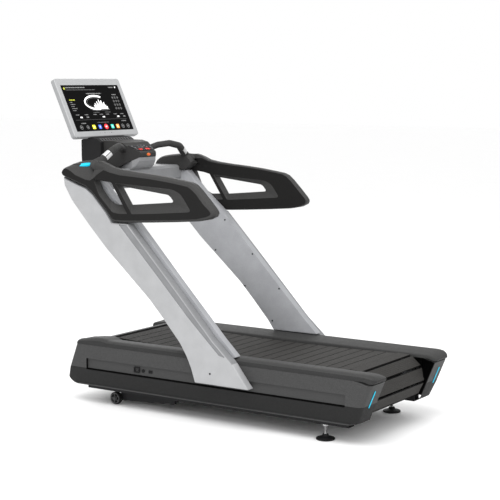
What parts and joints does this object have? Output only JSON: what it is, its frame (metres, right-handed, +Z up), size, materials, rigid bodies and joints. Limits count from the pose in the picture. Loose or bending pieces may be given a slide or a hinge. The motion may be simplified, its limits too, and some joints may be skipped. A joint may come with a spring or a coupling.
{
  "type": "slat belt treadmill",
  "caption": "Low slat-belt treadmill with a shallow curved deck, leaning uprights, looped handrails, a console with grips and a tilted screen.",
  "frame": {"origin": "middle of the footprint, on the floor the feet and wheels stand on", "axes": "+X from the screen towards the step-on end, +Y to the right of a runner facing the screen, +Z up"},
  "size_m": [2.0737, 0.914, 1.7156],
  "materials": {
    "cover_plastic": "textured matt",
    "cap_plastic": "textured matt",
    "silver_paint": "satin metallic",
    "black_paint": "powder coat",
    "zinc_steel": "bright zinc",
    "cast_housing": "machined",
    "alloy": "satin",
    "belt_rubber": "matt",
    "tread_rubber": "grooved matt",
    "tyre": "smooth",
    "rail_foam": "soft moulded skin",
    "grip_rubber": "matt",
    "black_gloss": "gloss",
    "black_plastic": "matt",
    "light_plastic": "lit strip",
    "silver_plastic": "satin",
    "display": "gloss",
    "stop_orange": "gloss",
    "motor_paint": "semi gloss",
    "plate_chrome": "polished"
  },
  "bodies": {
    "frame": {"side_rails": "black_paint", "cross_tubes": "black_paint", "idler_brackets": "black_paint", "pillow_blocks": "cast_housing", "carrier_belts": "belt_rubber", "slat_beams": "alloy", "slat_treads": "tread_rubber", "drive_motor": "motor_paint", "drive_belt": "belt_rubber", "motor_controller": "alloy", "lift_pins": "zinc_steel", "lift_actuator_body": "motor_paint", "foot_lock_nuts": "zinc_steel", "side_cover_left": "cover_plastic", "side_cover_right": "cover_plastic", "rail_cap_left": "cap_plastic", "rail_cap_right": "cap_plastic", "front_cover": "cover_plastic", "rear_lights": "light_plastic", "power_inlet": "black_plastic", "upright_outer_left": "silver_paint", "upright_outer_right": "silver_paint", "upright_inner_shells": "silver_paint", "upright_posts": "black_paint", "cross_beam": "black_paint", "upright_screws": "zinc_steel", "handrail_left": "rail_foam", "handrail_right": "rail_foam", "shoulder_inlays": "light_plastic", "grip_bars": "grip_rubber", "pulse_plates": "plate_chrome", "console_body": "black_plastic", "console_panel": "black_gloss", "console_belly": "silver_plastic", "screen_neck": "black_plastic", "screen_shell": "black_plastic", "screen_bezel": "silver_plastic", "screen_glass": "display"},
    "front_drum": {"front_shaft": "zinc_steel", "front_pulleys": "alloy", "driven_pulley": "alloy"},
    "rear_drum": {"rear_shaft": "zinc_steel", "rear_pulleys": "alloy"},
    "motor_rotor": {"motor_rotor_shaft": "zinc_steel", "motor_pulley": "alloy"},
    "lift": {"lift_frame": "black_paint", "wheel_axles": "zinc_steel"},
    "lift_rod": {"lift_actuator_rod": "zinc_steel"},
    "wheel_left": {"front_wheel_left": "tyre"},
    "wheel_right": {"front_wheel_right": "tyre"},
    "foot_left": {"rear_foot_left": "black_plastic"},
    "foot_right": {"rear_foot_right": "black_plastic"},
    "breaker": {"breaker_button": "black_plastic"},
    "rocker": {"rocker_switch": "black_plastic"},
    "stop": {"stop_button": "stop_orange"},
    "idler_1": {"idler_1": "zinc_steel"},
    "idler_2": {"idler_2": "zinc_steel"},
    "idler_3": {"idler_3": "zinc_steel"},
    "idler_4": {"idler_4": "zinc_steel"},
    "idler_5": {"idler_5": "zinc_steel"}
  },
  "joints": [
    {"name": "front_drum_spin", "type": "hinge", "parent": "frame", "child": "front_drum", "pos_m": [-0.59021, 0, 0.227], "axis": [0, 1, 0], "continuous": true},
    {"name": "rear_drum_spin", "type": "hinge", "parent": "frame", "child": "rear_drum", "pos_m": [0.85079, 0, 0.219], "axis": [0, 1, 0], "continuous": true},
    {"name": "motor_spin", "type": "hinge", "parent": "frame", "child": "motor_rotor", "pos_m": [-0.39521, 0, 0.21], "axis": [0, 1, 0], "continuous": true},
    {"name": "idler_1_spin", "type": "hinge", "parent": "frame", "child": "idler_1", "pos_m": [-0.35521, 0, 0.2866], "axis": [0, 1, 0], "continuous": true},
    {"name": "idler_2_spin", "type": "hinge", "parent": "frame", "child": "idler_2", "pos_m": [-0.11521, 0, 0.2805], "axis": [0, 1, 0], "continuous": true},
    {"name": "idler_3_spin", "type": "hinge", "parent": "frame", "child": "idler_3", "pos_m": [0.12979, 0, 0.2775], "axis": [0, 1, 0], "continuous": true},
    {"name": "idler_4_spin", "type": "hinge", "parent": "frame", "child": "idler_4", "pos_m": [0.37479, 0, 0.27775], "axis": [0, 1, 0], "continuous": true},
    {"name": "idler_5_spin", "type": "hinge", "parent": "frame", "child": "idler_5", "pos_m": [0.61479, 0, 0.28116], "axis": [0, 1, 0], "continuous": true},
    {"name": "lift_hinge", "type": "hinge", "parent": "frame", "child": "lift", "pos_m": [-0.19321, 0, 0.062], "axis": [0, -1, 0], "range_deg": [0, 30]},
    {"name": "lift_rod_slide", "type": "slide", "parent": "frame", "child": "lift_rod", "axis": [-1, 0, 0], "range_m": [0, 0.04761]},
    {"name": "wheel_left_spin", "type": "hinge", "parent": "lift", "child": "wheel_left", "pos_m": [-0.55521, -0.323, 0.033], "axis": [0, 1, 0], "continuous": true},
    {"name": "wheel_right_spin", "type": "hinge", "parent": "lift", "child": "wheel_right", "pos_m": [-0.55521, 0.323, 0.033], "axis": [0, 1, 0], "continuous": true},
    {"name": "foot_left_screw", "type": "slide", "parent": "frame", "child": "foot_left", "axis": [0, 0, 1], "range_m": [-0.02, 0]},
    {"name": "foot_right_screw", "type": "slide", "parent": "frame", "child": "foot_right", "axis": [0, 0, 1], "range_m": [-0.02, 0]},
    {"name": "stop_press", "type": "slide", "parent": "frame", "child": "stop", "axis": [-1, 0, 0], "range_m": [0, 0.003], "stiffness_N_per_m": 400},
    {"name": "breaker_reset", "type": "slide", "parent": "frame", "child": "breaker", "axis": [0, -1, 0], "range_m": [0, 0.003]},
    {"name": "rocker_turn", "type": "hinge", "parent": "frame", "child": "rocker", "pos_m": [-0.26721, -0.3945, 0.219], "axis": [0, 0, -1], "range_deg": [0, 14]}
  ],
  "couplings": [
    {"joint": "rear_drum_spin", "follows": "front_drum_spin", "ratio": 1},
    {"joint": "motor_spin", "follows": "front_drum_spin", "ratio": 2.2346},
    {"joint": "idler_1_spin", "follows": "front_drum_spin", "ratio": 3.4333},
    {"joint": "idler_2_spin", "follows": "front_drum_spin", "ratio": 3.4333},
    {"joint": "idler_3_spin", "follows": "front_drum_spin", "ratio": 3.4333},
    {"joint": "idler_4_spin", "follows": "front_drum_spin", "ratio": 3.4333},
    {"joint": "idler_5_spin", "follows": "front_drum_spin", "ratio": 3.4333},
    {"joint": "lift_rod_slide", "follows": "lift_hinge", "m_per_rad": 0.090545}
  ]
}
